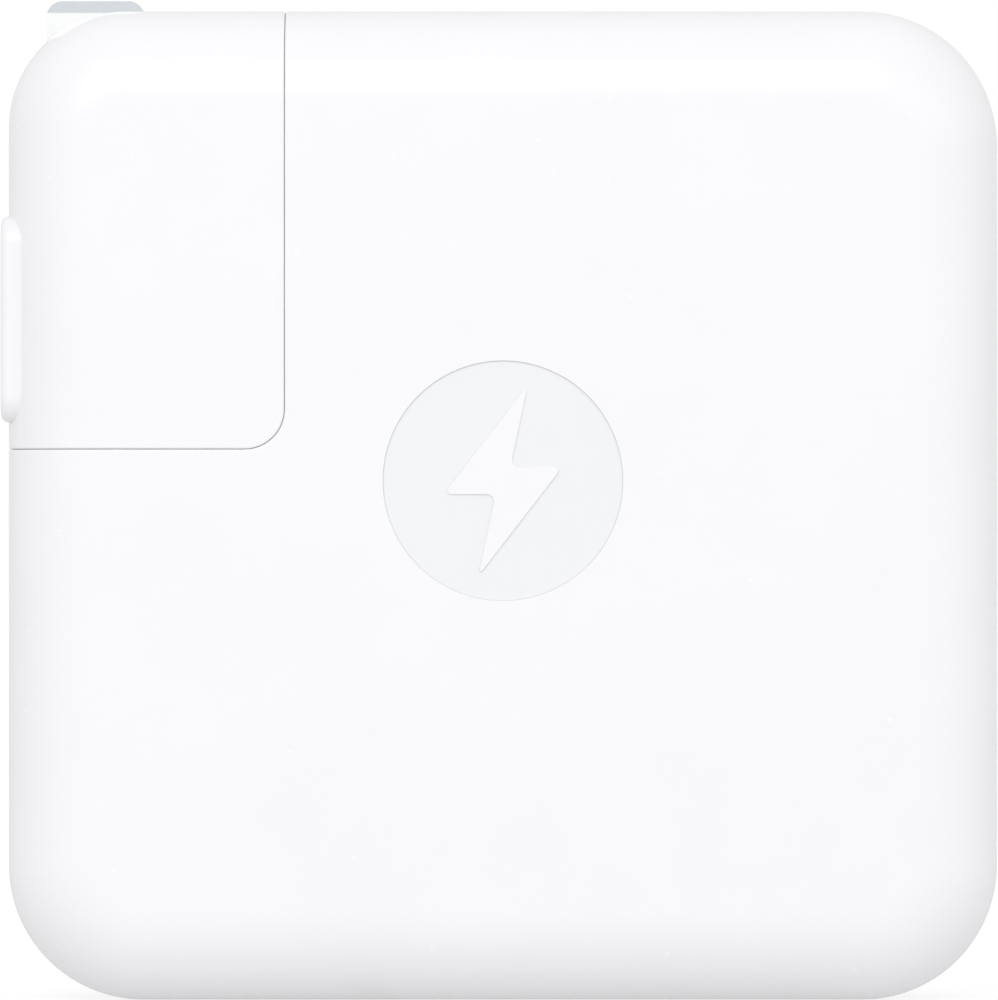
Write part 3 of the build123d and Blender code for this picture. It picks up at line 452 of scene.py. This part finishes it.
# ---- Plug module -------------------------------------------------------------------------------------------
PAD_HALF = Vector((0, 11.3, 8.35)) * MM
PAD_CORNER = 2.2 * MM
PAD_EDGE = 0.7 * MM
PAD_ROOT = 3 * MM  # how far the block that makes it reaches into the module
CAVITY_R = 8.75 * MM
CAVITY_HALF = 9.6 * MM
SLOT_HALF = 1.05 * MM
SLOT_FLOOR = PIVOT.z - 4.05 * MM
SLOT_RIGHT = PIVOT.x + 4.4 * MM
SLOT_LIP = 0.09 * MM
BEARING_R = 2.05 * MM
BEARING_START = CAVITY_HALF - 0.1 * MM
BEARING_END = 12.4 * MM
SADDLE_WALL = 1.2 * MM  # behind the drum's space and round the blades' channels
SEAT_BITE = 0.3 * MM  # how far the seat reaches into the skin's wall
SEAT_FLOOR = MODULE_BOTTOM + 1.9 * MM
CHEEK_X = (-38.5 * MM, -25.0 * MM)
CHEEK_Z = (49.5 * MM, 60.6 * MM)
CHEEK_ENDS = (CAVITY_HALF - 0.02 * MM, CASE_HIGH.y - WALL + 0.4 * MM)
CHANNEL_LEFT = -38.6 * MM
CHANNEL_Z = (60 * MM, 78.6 * MM)


def socket_pad():
    """The raised face that meets the wall socket: a block with round corners and a soft outer edge."""
    low = Vector((PAD_FACE, -PAD_HALF.y, PIVOT.z - PAD_HALF.z))
    high = Vector((CASE_LOW.x + PAD_ROOT, PAD_HALF.y, PIVOT.z + PAD_HALF.z))
    piece = block("pad", low, high)
    round_edges(piece, lambda edge: runs_along(edge, 0), PAD_CORNER, 12)

    def outer(edge):
        return all(vertex.co.x < PAD_FACE + HAIR for vertex in edge.verts)

    round_edges(piece, outer, PAD_EDGE, 10)
    return piece


def blade_slot(name, y, grow, left, right, bottom, top):
    """An upright slot for one blade, wider than it by its play and, on each side, by grow."""
    return block(name, (left, y - SLOT_HALF - grow, bottom), (right, y + SLOT_HALF + grow, top))


def drum_space(name, grow):
    """The round space that the drum turns in, with its radius grown by grow."""
    ends = [(PIVOT.x, side * CAVITY_HALF, PIVOT.z) for side in (-1, 1)]
    return bar(name, CAVITY_R + grow, *ends, 128)


def drum_seat():
    """What holds the drum inside the module: a half saddle, two bearing cheeks, and the blades' channels."""
    seat = drum_space("saddle", SADDLE_WALL)
    slice_off(seat, PIVOT, (1, 0, 0))
    for side in (-1, 1):
        ends = sorted(side * end for end in CHEEK_ENDS)
        cheek = block("cheek", (CHEEK_X[0], ends[0], CHEEK_Z[0]), (CHEEK_X[1], ends[1], CHEEK_Z[1]))
        combine(seat, cheek, "UNION")
    for y in BLADE_Y:
        channel = blade_slot("channel", y, SADDLE_WALL, CHANNEL_LEFT, SLOT_RIGHT + SADDLE_WALL, *CHANNEL_Z)
        combine(seat, channel, "UNION")
    combine(seat, soft_block("inside", WALL - SEAT_BITE), "INTERSECT")
    slice_off(seat, (0, 0, SEAT_FLOOR), (0, 0, -1))
    return seat


def slot_mouth(place):
    """Whether a place is on a rim of the blades' slots, where they open on the module's outside."""
    beside = any(abs(abs(place.y - y) - SLOT_HALF) < HAIR for y in BLADE_Y)
    at_end = abs(place.x - SLOT_RIGHT) < HAIR
    from_left = max(CASE_LOW.x + MODULE_CORNER - place.x, 0)
    from_top = max(place.z - CASE_HIGH.z + MODULE_CORNER, 0)
    return (beside or at_end) and math.hypot(from_left, from_top) > MODULE_CORNER - 2 * HAIR


def module_skin(plastic):
    """The module's outer moulding: hollow, with the drum's seat, and soft at its seam and the slots' mouths."""
    skin = combine(soft_block("module_skin", 0), corner_block("corner", -SEAM_FIT / 2), "INTERSECT")
    soften(skin, SEAM_LIP, 3)
    combine(skin, socket_pad(), "UNION")
    combine(skin, soft_block("hollow", WALL), "DIFFERENCE")
    combine(skin, drum_seat(), "UNION")
    for y in BLADE_Y:
        combine(skin, blade_slot("slot", y, 0, -BEYOND, SLOT_RIGHT, SLOT_FLOOR, 2 * BEYOND), "DIFFERENCE")
    combine(skin, drum_space("cavity", 0), "DIFFERENCE")
    for side in (-1, 1):
        near, far = side * BEARING_START, side * BEARING_END
        bearing = bar("bearing", BEARING_R, (PIVOT.x, near, PIVOT.z), (PIVOT.x, far, PIVOT.z), 48)
        ends = sorted((near, far))
        way_in = block("way_in", (PIVOT.x, ends[0], PIVOT.z - BEARING_R), (0, ends[1], PIVOT.z + BEARING_R))
        combine(skin, bearing, "DIFFERENCE")
        combine(skin, way_in, "DIFFERENCE")
    soften(skin, SLOT_LIP, 3, slot_mouth, 40)
    finished(skin, "plug_module", "white_polycarbonate", plastic, "plug_housing")


# ---- Folding prongs ----------------------------------------------------------------------------------------
DRUM_R = 8.6 * MM
DRUM_HALF = 9.4 * MM
DRUM_FLAT = 7.52 * MM
TRUNNION_R = 2.0 * MM
SHOULDER = 1.5 * MM  # the blade narrows to its tail this far above the axis
TAIL_HALF = 1.8 * MM
TIP_ROUND = 1.3 * MM
TIP_HALF = 0.4 * MM
HOLE_AT = 19.3 * MM
HOLE_R = 1.58 * MM
BLADE_LIP = 0.09 * MM
DRUM_LIP = 0.15 * MM
GROOVE_R = 0.6 * MM
GROOVE_HALF = 3.0 * MM
GROOVE_OUT = 0.25 * MM  # the grooves' axes lie this far outside the drum's surface, along X and Z
SLIT_PLAY = 0.02 * MM


def blade(node, nickel):
    """A stamped blade: rounded and bevelled at its tip, drilled, and narrowed to a tail inside the drum."""
    low, high = BLADES[node]
    y, half = (low.y + high.y) / 2, (high.y - low.y) / 2
    piece = block(node + "_stamped", low, high)

    def tip_corner(edge):
        return all(vertex.co.z > high.z - HAIR for vertex in edge.verts) and edge.calc_length() < 2 * MM

    round_edges(piece, tip_corner, TIP_ROUND, 12)
    for side in (-1, 1):
        x_ends = sorted((PIVOT.x + side * TAIL_HALF, PIVOT.x + side * BEYOND))
        step = block("step", (x_ends[0], -BEYOND, 0), (x_ends[1], BEYOND, PIVOT.z + SHOULDER))
        combine(piece, step, "DIFFERENCE")
        outward = (0, side * TIP_BEVEL, half - TIP_HALF)
        slice_off(piece, (PIVOT.x, y + side * half, high.z - TIP_BEVEL), outward)
    at = PIVOT.z + HOLE_AT
    combine(piece, bar("hole", HOLE_R, (PIVOT.x, y - MM, at), (PIVOT.x, y + MM, at), 48), "DIFFERENCE")
    soften(piece, BLADE_LIP, 2, sharp=45)
    finished(piece, "prong_rotor", "nickel_plated_brass", nickel, node)


def drum(plastic):
    """The moulded drum: two flats, soft edges, trunnions, click grooves, and the slits that hold the blades."""
    piece = bar("drum", DRUM_R, (PIVOT.x, -DRUM_HALF, PIVOT.z), (PIVOT.x, DRUM_HALF, PIVOT.z), 128)
    slice_off(piece, (PIVOT.x - DRUM_FLAT, 0, 0), (-1, 0, 0))
    slice_off(piece, (0, 0, PIVOT.z + DRUM_FLAT), (0, 0, 1))
    soften(piece, DRUM_LIP, 2, sharp=20)
    low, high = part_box("prong_drum")
    pins = bar("trunnions", TRUNNION_R, (PIVOT.x, low.y, PIVOT.z), (PIVOT.x, high.y, PIVOT.z), 48)
    combine(piece, pins, "UNION")
    at = DRUM_R * math.sqrt(0.5) + GROOVE_OUT
    for side in (-1, 1):
        place = PIVOT + Vector((at, 0, side * at))
        along = Vector((0, GROOVE_HALF, 0))
        groove = bar("groove", GROOVE_R, place - along, place + along, 24)
        combine(piece, groove, "DIFFERENCE")
    for node, (low, high) in BLADES.items():
        front, back = low.y - SLIT_PLAY, high.y + SLIT_PLAY
        shoulder = PIVOT.z + SHOULDER
        tail_half = TAIL_HALF + SLIT_PLAY
        slit = block("slit", (low.x - SLIT_PLAY, front, shoulder), (high.x + SLIT_PLAY, back, ABOVE_ALL))
        tail = block("tail", (PIVOT.x - tail_half, front, 0), (PIVOT.x + tail_half, back, shoulder + MM))
        combine(piece, slit, "DIFFERENCE")
        combine(piece, tail, "DIFFERENCE")
    finished(piece, "prong_rotor", "white_polycarbonate", plastic, "prong_drum")


# ---- Outlet ------------------------------------------------------------------------------------------------
def outlet_contacts(gold):
    """The outlet's two rows of twelve contacts, on either side of its tongue."""
    pitch, half_width, thick = 0.5 * MM, 0.13 * MM, 0.05 * MM
    tongue_half = 0.35 * MM
    reach, set_back, lip = 4.4 * MM, 0.35 * MM, 0.03 * MM
    tongue_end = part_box("usb_c_tongue")[1].x
    fingers = []
    for row in (-1, 1):
        for number in range(12):
            z = PORT.z + (number - 5.5) * pitch
            ends = sorted((row * tongue_half, row * (tongue_half + thick)))
            low = (tongue_end - reach, PORT.y + ends[0], z - half_width)
            high = (tongue_end - set_back, PORT.y + ends[1], z + half_width)
            finger = block("finger", low, high)
            soften(finger, lip, 1, lambda place: abs(place.y - PORT.y) > tongue_half + thick / 2)
            fingers.append(finger)
    bpy.ops.object.select_all(action="DESELECT")
    for finger in fingers:
        finger.select_set(True)
    bpy.context.view_layer.objects.active = fingers[0]
    bpy.ops.object.join()
    fingers[0].name = "outlet_contacts"
    finished(fingers[0], "main_body", "nickel_plated_brass", gold)


# ---- Studio ------------------------------------------------------------------------------------------------
VIEW_HEIGHT = 80.97 * MM  # what the picture's height covers at the case's widest section
EYE = Vector((-0.32 * MM, -1.2, 40.45 * MM))
WIDEST_AT = -7.5 * MM  # along Y, where the soft front edges end
KEY_SIZE = 0.75
KEY_PLACE = (-0.2, -1.0, 0.62)
KEY_AIM = (0, 0, 0.04)
KEY_POWER = 2.3
TABLE_GLOW = 0.49  # what the table gives the object
TABLE_SEEN = 0.72  # how bright it looks to the camera
DIM_GLOW = 0.83
BRIGHT_GLOW = 1.3
BRIGHTENING = (0.36, -1.9, -1.65)  # how fast the surround brightens along X, Y and Z: most in front and low


def camera():
    """A long lens, square on to the front face."""
    data = bpy.data.cameras.new("camera")
    data.sensor_width = 36
    data.lens = data.sensor_width * (WIDEST_AT - EYE.y) / VIEW_HEIGHT
    data.clip_end = 50
    eye = bpy.data.objects.new("camera", data)
    eye.location = EYE
    eye.rotation_euler = (math.radians(90), 0, 0)
    bpy.context.scene.collection.objects.link(eye)
    bpy.context.scene.camera = eye


def softbox(name, size, place, aim, power):
    """A square area light that faces a point."""
    data = bpy.data.lights.new(name, "AREA")
    data.size = size
    data.energy = power
    light = bpy.data.objects.new(name, data)
    light.location = place
    light.rotation_euler = (Vector(aim) - Vector(place)).to_track_quat("-Z", "Y").to_euler()
    bpy.context.scene.collection.objects.link(light)


def studio():
    """A pale table lit from below, a white surround, and a large softbox above and in front."""
    bpy.context.scene.view_settings.view_transform = "Standard"
    bpy.ops.object.select_all(action="DESELECT")
    bpy.ops.mesh.primitive_plane_add(size=12)
    floor = settle("floor")
    floor.data.materials.append(opal_table())
    softbox("key", KEY_SIZE, KEY_PLACE, KEY_AIM, KEY_POWER)
    surround()


def opal_table():
    """An opal sheet lit from below: its own glow hides most of the object's shadow."""
    made = finish("lit_opal_table", "959595", "939393", (4, 4, 4), 0.8, 0.05, 0.01, Specular_IOR_Level=0.1,
                  Emission_Color=(1, 1, 1, 1))
    tree = made.node_tree
    seen = add(tree, "ShaderNodeLightPath").outputs["Is Camera Ray"]
    glow = add(tree, "ShaderNodeMapRange", [("Value", seen)], To_Min=TABLE_GLOW, To_Max=TABLE_SEEN)
    tree.links.new(glow.outputs[0], tree.nodes["Principled BSDF"].inputs["Emission Strength"])
    return made


def surround():
    """A white surround, brightest low in front; seen directly it is plain white."""
    world = bpy.data.worlds.new("white_surround")
    world.use_nodes = True
    tree = world.node_tree
    tree.nodes.clear()
    way = add(tree, "ShaderNodeTexCoord").outputs["Generated"]
    towards = add(tree, "ShaderNodeVectorMath", [(0, way)], operation="DOT_PRODUCT")
    towards.inputs[1].default_value = BRIGHTENING
    glow = add(tree, "ShaderNodeMapRange", [("Value", towards.outputs["Value"])], To_Min=DIM_GLOW,
               To_Max=BRIGHT_GLOW)
    seen = add(tree, "ShaderNodeLightPath").outputs["Is Camera Ray"]
    strength = add(tree, "ShaderNodeMix", [("Factor", seen), ("A", glow.outputs[0])], data_type="FLOAT", B=1.0)
    light = add(tree, "ShaderNodeBackground", [("Strength", strength.outputs[0])], Color=(1, 1, 1, 1))
    add(tree, "ShaderNodeOutputWorld", [("Surface", light.outputs[0])])
    bpy.context.scene.world = world


# ---- Making ------------------------------------------------------------------------------------------------
camera()
studio()

white = polished_polycarbonate()
grey = inlaid_polycarbonate()
nylon = satin_nylon()
nickel = nickel_plate()
steel = stainless()
black = black_nylon()
gold = gold_plate()
slots = {"white_polycarbonate": white, "emblem_grey": grey, "white_nylon": nylon, "nickel_plated_brass": nickel,
         "stainless_shell": steel, "black_nylon": black}
for slot, (name, first, second, grain, roughness, metal) in INNER_FINISHES.items():
    slots[slot] = finish(name, first, second, grain, roughness, 0.06, 0.002, Metallic=metal)
for part in frame["record"]["subparts"]:
    frame["nodes"][part["node"]].material_slots[0].material = slots[part["material_slot"]]

case_halves(white)
emblem(grey)
module_skin(white)
for node in BLADES:
    blade(node, nickel)
drum(white)
outlet_contacts(gold)
